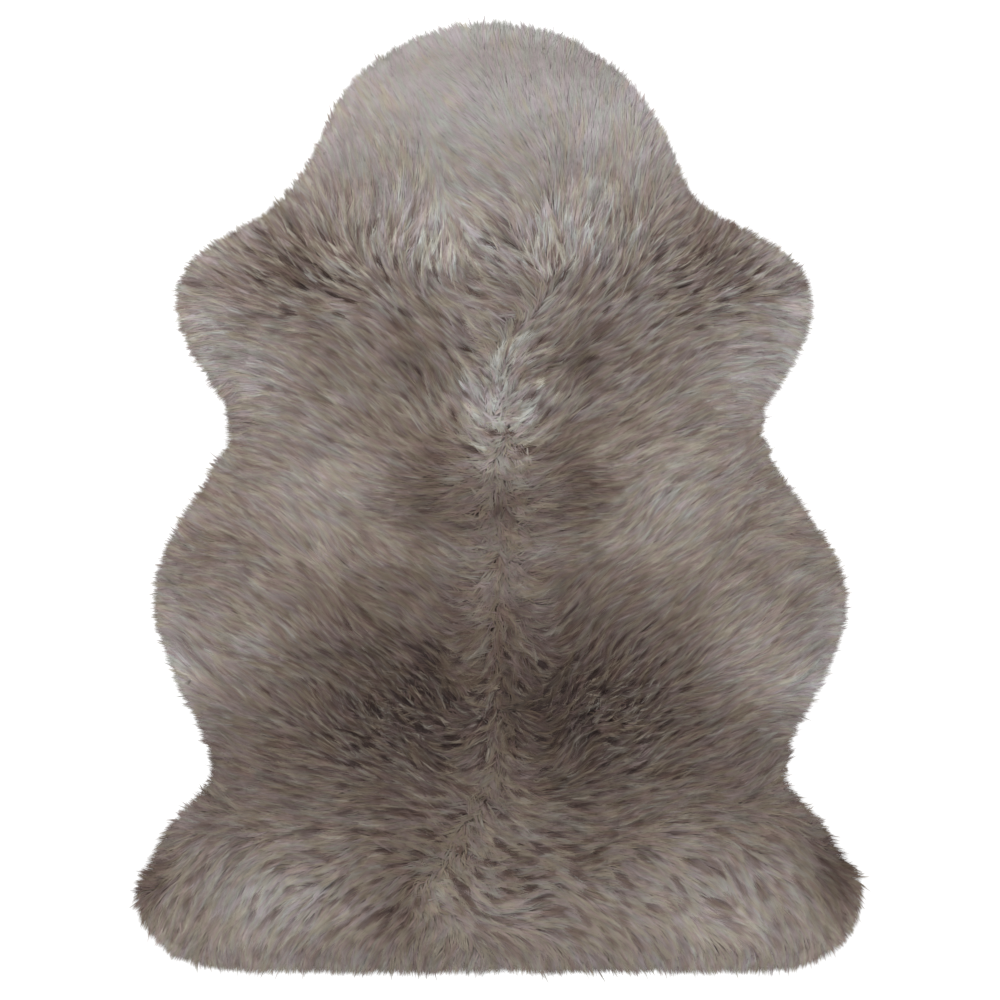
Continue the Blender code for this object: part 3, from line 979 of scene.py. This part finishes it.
def fibre_mesh(name, corners, tone, hue, short):
    """One mesh of many fibres. Short wool shows only the ends of its fibres, and so less of the
    painted root shade.
    """
    count = len(corners)
    mesh = bpy.data.meshes.new(name)
    loops = np.concatenate([np.array(face) for face in FIBRE_FACES])
    starts = np.cumsum([0] + [len(face) for face in FIBRE_FACES])[:-1]
    first = np.arange(count)[:, None] * CORNERS_PER_FIBRE
    mesh.vertices.add(count * CORNERS_PER_FIBRE)
    mesh.vertices.foreach_set("co", corners.astype(np.float32).ravel())
    mesh.loops.add(count * len(loops))
    mesh.loops.foreach_set("vertex_index", (first + loops).astype(np.int32).ravel())
    mesh.polygons.add(count * len(FIBRE_FACES))
    first_loop = np.arange(count)[:, None] * len(loops)
    mesh.polygons.foreach_set("loop_start", (first_loop + starts).astype(np.int32).ravel())
    mesh.polygons.foreach_set("use_smooth", np.ones(count * len(FIBRE_FACES), bool))
    sides = np.tile(CORNER_SIDES[loops], count)
    sections = np.tile(CORNER_SECTIONS[loops], count)
    sections = sections + (1.0 - sections) * np.repeat(short, len(loops))
    lay_on_palette(mesh, np.repeat(tone, len(loops)), np.repeat(hue, len(loops)), sides, sections)
    mesh.update(calc_edges=True)
    mesh.validate()
    return new_object(name, mesh)


def add_node(tree, kind, inputs=None, **settings):
    node = tree.nodes.new(kind)
    for key, value in settings.items():
        setattr(node, key, value)
    for key, value in (inputs or {}).items():
        if isinstance(value, bpy.types.NodeSocket):
            tree.links.new(value, node.inputs[key])
        else:
            node.inputs[key].default_value = value
    return node


def ramp(tree, factor, stops):
    """Colours by a factor. New stops start halfway and are then moved to their places."""
    node = add_node(tree, "ShaderNodeValToRGB", {"Fac": factor})
    elements = node.color_ramp.elements
    while len(elements) < len(stops):
        elements.new(0.5)
    for element, (position, colour) in zip(elements, stops):
        element.position = position
        element.color = (*colour, 1.0)
    return node.outputs["Color"]


# Sockets of a mix of two colours, by number because their names repeat.
MIX_FACTOR, MIX_FIRST, MIX_SECOND = 0, 6, 7
MIX_RESULT = 2


def multiplied(tree, first, second):
    inputs = {MIX_FACTOR: 1.0, MIX_FIRST: first, MIX_SECOND: second}
    mix = add_node(tree, "ShaderNodeMix", inputs, data_type="RGBA", blend_type="MULTIPLY")
    return mix.outputs[MIX_RESULT]


def new_material(name, roughness, specular):
    material = bpy.data.materials.new(name)
    material.use_nodes = True
    shader = material.node_tree.nodes["Principled BSDF"]
    shader.inputs["Roughness"].default_value = roughness
    shader.inputs["Specular IOR Level"].default_value = specular
    return material, material.node_tree, shader


# Wool colours by tone, as linear light.
WOOL_STOPS = (
    (0.00, (0.040, 0.028, 0.024)),
    (0.20, (0.112, 0.080, 0.066)),
    (0.40, (0.231, 0.187, 0.161)),
    (0.60, (0.400, 0.354, 0.322)),
    (0.80, (0.617, 0.583, 0.560)),
    (1.00, (0.862, 0.840, 0.828)),
)
# Hues: cool to warm in three pairs, the first of each violet and the second olive.
HUES = (
    (0.997, 0.982, 1.084),
    (0.918, 1.011, 1.016),
    (1.030, 0.979, 1.035),
    (0.959, 1.008, 0.955),
    (1.066, 0.975, 0.975),
    (0.998, 1.003, 0.896),
)
# Painted depth shade along a fibre: darker towards its root, as the shade deep in the coat.
PAINTED_DEPTH_SHADE_STOPS = (
    (0.0, (0.496, 0.451, 0.496)),
    (0.40, (0.708, 0.677, 0.708)),
    (0.75, (0.858, 0.854, 0.850)),
    (1.0, (0.903, 0.912, 0.876)),
)


def wool_material():
    """The palette: a colour by tone, tinted by hue, with painted depth shade dark at the root and
    pale at the tip.
    """
    material, tree, shader = new_material("wool_fibres", roughness=0.8, specular=0.12)
    shader.inputs["Sheen Weight"].default_value = 0.12
    shader.inputs["Sheen Roughness"].default_value = 0.4
    uv = add_node(tree, "ShaderNodeUVMap", uv_map="OFBake").outputs["UV"]
    place = add_node(tree, "ShaderNodeSeparateXYZ", {0: uv})
    row = add_node(tree, "ShaderNodeMath", {0: place.outputs["Y"], 1: HUE_ROWS}, operation="MULTIPLY")
    # How far up its row a corner lies, which picks its painted depth shade.
    depth = add_node(tree, "ShaderNodeMath", {0: row.outputs[0]}, operation="FRACT")
    hues = ramp(tree, place.outputs["Y"], [(i / HUE_ROWS, hue) for i, hue in enumerate(HUES)])
    hues.node.color_ramp.interpolation = "CONSTANT"
    colour = multiplied(tree, ramp(tree, place.outputs["X"], WOOL_STOPS), hues)
    colour = multiplied(tree, colour, ramp(tree, depth.outputs[0], PAINTED_DEPTH_SHADE_STOPS))
    tree.links.new(colour, shader.inputs["Base Color"])
    return material


INSIDE_ONLY = 1  # keep the triangles inside the border
SAME_POINT = 1e-6  # points closer than this are one


def flat_triangles(border, inner):
    """Triangles that fill a closed border through the inner points."""
    points = [Vector(point) for point in np.concatenate((border, inner))]
    loop = [list(range(len(border)))]
    return delaunay_2d_cdt(points, [], loop, INSIDE_ONLY, SAME_POINT)[2]


def slab(name, border, inner, lower, upper):
    """A closed slab: the same flat triangles below and above, joined round the border."""
    triangles = flat_triangles(border, inner)
    flat = np.concatenate((border, inner))
    count, rim = len(flat), len(border)
    bottom = np.column_stack((flat, lower))
    top = np.column_stack((flat, upper))
    faces = [tuple(reversed(t)) for t in triangles]
    faces += [tuple(i + count for i in t) for t in triangles]
    for i in range(rim):
        after = (i + 1) % rim
        faces.append((i, after, after + count, i + count))
    mesh = bpy.data.meshes.new(name)
    mesh.from_pydata(np.concatenate((bottom, top)).tolist(), [], faces)
    mesh.validate()
    mesh.update()
    return new_object(name, mesh)


def inner_points(pelt, inside_by, pitch, rng):
    """Points strewn over the pelt, farther inside the line that the wool reaches than said."""
    low, high = pelt["edge"].min(axis=0), pelt["edge"].max(axis=0)
    across = np.arange(low[0], high[0], pitch)
    along = np.arange(low[1], high[1], pitch)
    points = np.stack(np.meshgrid(across, along), axis=-1).reshape(-1, 2)
    points = points + rng.uniform(-POINT_STRAY, POINT_STRAY, points.shape) * pitch
    inside = pelt["lattice"].sample(pelt["inside"], points)
    return points[inside > inside_by + pitch * POINT_ROOM]


def rim_line(pelt, inside_by):
    """A closed line as far inside the line that the wool reaches as said."""
    line = pelt["edge"] + outward(pelt["edge"]) * (EDGE_TO_WOOL_LINE - inside_by)
    return even_steps(smoothed_line(line, RIM_ROUNDS), RIM_POINTS)


SUEDE_STOPS = ((0.3, (0.50, 0.40, 0.29)), (0.7, (0.70, 0.61, 0.49)))
NAP_STOPS = ((0.3, (0.86, 0.86, 0.86)), (0.7, (1.0, 1.0, 1.0)))


def hide_material():
    """Tanned suede: cream, a little mottled, with a fine nap."""
    material, tree, shader = new_material("hide_suede", roughness=0.92, specular=0.12)
    place = add_node(tree, "ShaderNodeNewGeometry").outputs["Position"]
    mottle = add_node(tree, "ShaderNodeTexNoise", {"Vector": place, "Scale": 14.0, "Detail": 6.0})
    nap = add_node(tree, "ShaderNodeTexNoise", {"Vector": place, "Scale": 900.0, "Detail": 3.0})
    colour = ramp(tree, mottle.outputs["Fac"], SUEDE_STOPS)
    grain = ramp(tree, nap.outputs["Fac"], NAP_STOPS)
    tree.links.new(multiplied(tree, colour, grain), shader.inputs["Base Color"])
    relief = {"Height": nap.outputs["Fac"], "Strength": 0.4, "Distance": 0.0004}
    bump = add_node(tree, "ShaderNodeBump", relief)
    tree.links.new(bump.outputs["Normal"], shader.inputs["Normal"])
    return material


def make_hide(pelt, rng):
    """The tanned hide: a thin sheet with a slightly uneven cut edge."""
    border = rim_line(pelt, HIDE_INSIDE)
    cut = smoothed_line(rng.normal(0, CUT_UNEVENNESS, (RIM_POINTS, 1)), CUT_ROUNDS)
    border = border + outward(border) * cut
    inner = inner_points(pelt, HIDE_INSIDE + HIDE_MARGIN, HIDE_PITCH, rng)
    count = len(border) + len(inner)
    upper = HIDE_THICKNESS + rng.uniform(-HIDE_UNEVENNESS, HIDE_UNEVENNESS, count)
    piece = slab("hide", border, inner, np.zeros(count), upper)
    piece.data.materials.append(hide_material())
    return piece


def make_undercoat(pelt, coat, material, rng):
    """The dense short wool that fills the depth between the long tufts, coloured with the painted
    shade of their roots.
    """
    border = rim_line(pelt, UNDERCOAT_INSIDE)
    inner = inner_points(pelt, UNDERCOAT_INSIDE, UNDERCOAT_PITCH, rng)
    flat = np.concatenate((border, inner))
    rim = len(border)
    height = pelt["lattice"].sample(pelt["height"], flat) * UNDERCOAT_SHARE
    height[rim:] += rng.uniform(-UNDERCOAT_UNEVENNESS, UNDERCOAT_UNEVENNESS, len(inner))
    lower = np.full(len(flat), HIDE_THICKNESS + UNDERCOAT_LIFT)
    upper = np.maximum(height, lower + UNDERCOAT_LEAST)
    upper[:rim] = lower[:rim] + UNDERCOAT_RIM
    piece = slab("undercoat", border, inner, lower, upper)
    piece.data.shade_smooth()
    piece.data.materials.append(material)
    colour_undercoat(piece.data, pelt, coat, rng)
    return piece


def colour_undercoat(mesh, pelt, coat, rng):
    """Each face has the coat's tone at its middle, a hue by chance and the painted shade of the
    fibres' roots.
    """
    faces = mesh.polygons
    middles = np.array([face.center[:2] for face in faces])
    sizes = np.array([face.loop_total for face in faces])
    corner = np.concatenate([np.arange(size) for size in sizes])
    tone = np.repeat(coat["fine"].sample(coat["tone"], middles), sizes)
    hue = np.repeat(rng.integers(0, HUE_ROWS, len(faces)), sizes)
    parting = np.repeat(pelt["lattice"].sample(pelt["parting"], middles), sizes)
    parted = np.clip(parting / FULL_PARTING, 0.0, 1.0)
    section = UNDERCOAT_SECTION + PARTING_SECTION * parted + CORNER_SECTION * corner
    lay_on_palette(mesh, tone, hue, np.where(corner == 0, -1.0, 1.0), section)


def make_wool(pelt, coat, material, rng):
    """The combed wool, in bands from the neck to the tail."""
    tufts = grow_tufts(pelt, rng)
    fibres = grow_fibres(pelt, coat, tufts, rng)
    count = len(tufts["roots"])
    pieces = []
    for i, band in enumerate(BANDS):
        first = count * i // len(BANDS) * FIBRES_PER_TUFT
        last = count * (i + 1) // len(BANDS) * FIBRES_PER_TUFT
        piece = fibre_mesh("wool_" + band, *(values[first:last] for values in fibres))
        piece.data.materials.append(material)
        pieces.append(piece)
    return pieces


# The stage.
FLOOR_HALF = 6.0
FLOOR_COLOUR = (0.92, 0.92, 0.92, 1.0)
ROOM_LIGHT = 0.72
LAMP_COLUMNS = ("name", "place", "size", "power")
LAMPS = (
    ("key", (-1.6, 1.8, 2.6), 2.2, 84.0),
    ("fill", (1.8, -0.6, 2.6), 2.6, 30.0),
)
LENS = 100.0  # in millimetres, as the sensor
SENSOR = 36.0
PICTURE_WIDTH = 1.0  # what the camera sees across
PICTURE_LEVEL = 0.02  # at this height above the floor


def make_stage():
    """A plain pale floor, soft light from above and the camera straight overhead."""
    mesh = bpy.data.meshes.new("floor")
    corners = [(x * FLOOR_HALF, y * FLOOR_HALF, 0) for x, y in ((-1, -1), (1, -1), (1, 1), (-1, 1))]
    mesh.from_pydata(corners, [], [(0, 1, 2, 3)])
    floor = new_object("floor", mesh)
    material, _, shader = new_material("floor", roughness=0.9, specular=0.1)
    shader.inputs["Base Color"].default_value = FLOOR_COLOUR
    mesh.materials.append(material)

    world = bpy.data.worlds.new("studio")
    bpy.context.scene.world = world
    world.use_nodes = True
    background = world.node_tree.nodes["Background"]
    background.inputs["Color"].default_value = (1.0, 1.0, 1.0, 1.0)
    background.inputs["Strength"].default_value = ROOM_LIGHT

    for row in LAMPS:
        lamp = dict(zip(LAMP_COLUMNS, row))
        light = bpy.data.lights.new(lamp["name"], "AREA")
        light.shape = "DISK"
        light.size = lamp["size"]
        light.energy = lamp["power"]
        piece = new_object(lamp["name"], light)
        piece.location = lamp["place"]
        piece.rotation_euler = (-Vector(lamp["place"])).to_track_quat("-Z", "Y").to_euler()

    camera = bpy.data.cameras.new("camera")
    camera.lens = LENS
    camera.sensor_width = SENSOR
    rig = new_object("camera", camera)
    rig.location = (0.0, 0.0, LENS / SENSOR * PICTURE_WIDTH + PICTURE_LEVEL)
    bpy.context.scene.camera = rig
    bpy.context.scene.view_settings.view_transform = "Standard"


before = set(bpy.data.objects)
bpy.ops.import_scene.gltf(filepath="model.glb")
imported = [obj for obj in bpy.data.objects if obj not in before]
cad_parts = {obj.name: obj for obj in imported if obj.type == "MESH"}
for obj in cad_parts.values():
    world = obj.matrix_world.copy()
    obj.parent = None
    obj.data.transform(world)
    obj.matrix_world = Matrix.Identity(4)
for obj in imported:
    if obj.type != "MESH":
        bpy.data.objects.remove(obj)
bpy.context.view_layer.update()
rng = np.random.default_rng(SEED)
make_stage()
pelt = read_pelt(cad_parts[NODE], rng)
coat = read_coat(pelt, rng)
wool_look = wool_material()
hide = make_hide(pelt, rng)
undercoat = make_undercoat(pelt, coat, wool_look, rng)
wool = make_wool(pelt, coat, wool_look, rng)
for piece in (hide, undercoat, *wool):
    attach(piece, "root")
    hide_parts(NODE)
